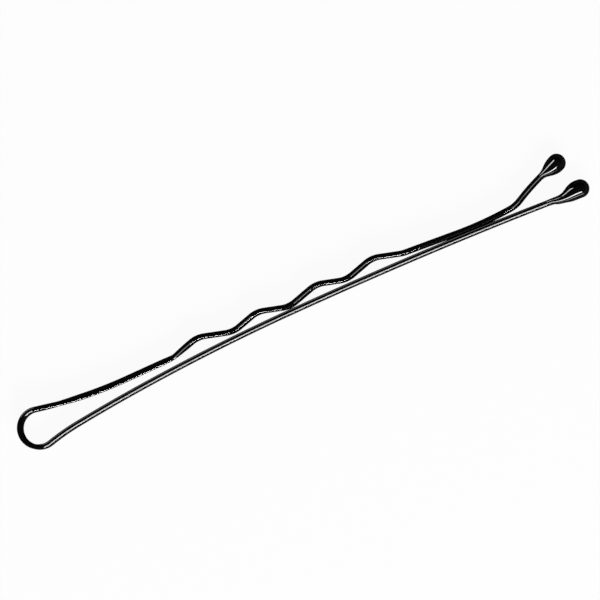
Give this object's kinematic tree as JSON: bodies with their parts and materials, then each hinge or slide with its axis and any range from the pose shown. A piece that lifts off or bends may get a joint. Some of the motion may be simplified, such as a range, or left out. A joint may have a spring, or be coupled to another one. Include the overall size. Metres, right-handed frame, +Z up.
{
  "type": "bobby pin",
  "caption": "Flat black spring-wire hair pin: round loop, one straight leg, one crimped leg with a turned-up tip, and a glossy resin bead on each end.",
  "frame": {"origin": "centre of the round loop at the closed end, at half the wire's width", "axes": "+X along the pin from the loop to the tips, +Y the way the crimped leg opens, +Z up, across the wire's width; the pin lies on the narrow edges of its wire"},
  "size_m": [0.0515, 0.0049, 0.0016],
  "materials": {
    "enamelled_spring_wire": "gloss black enamel on flat spring steel",
    "black_resin": "high gloss, set from a drop"
  },
  "bodies": {
    "spring_bend": {"spring_bend": "enamelled_spring_wire"},
    "straight_leg": {"straight_leg": "enamelled_spring_wire", "straight_leg_bead": "black_resin"},
    "crimped_leg": {"crimped_leg": "enamelled_spring_wire", "crimped_leg_bead": "black_resin"}
  },
  "joints": [
    {"name": "straight_leg_flex", "type": "hinge", "parent": "spring_bend", "child": "straight_leg", "pos_m": [0.00833, -0.00071, 0], "axis": [0, 0, -1], "range_deg": [0, 8], "stiffness_Nm_per_rad": 0.08},
    {"name": "crimped_leg_flex", "type": "hinge", "parent": "spring_bend", "child": "crimped_leg", "pos_m": [0.00823, 0.00092, 0], "axis": [0, 0, 1], "range_deg": [0, 8], "stiffness_Nm_per_rad": 0.08}
  ]
}
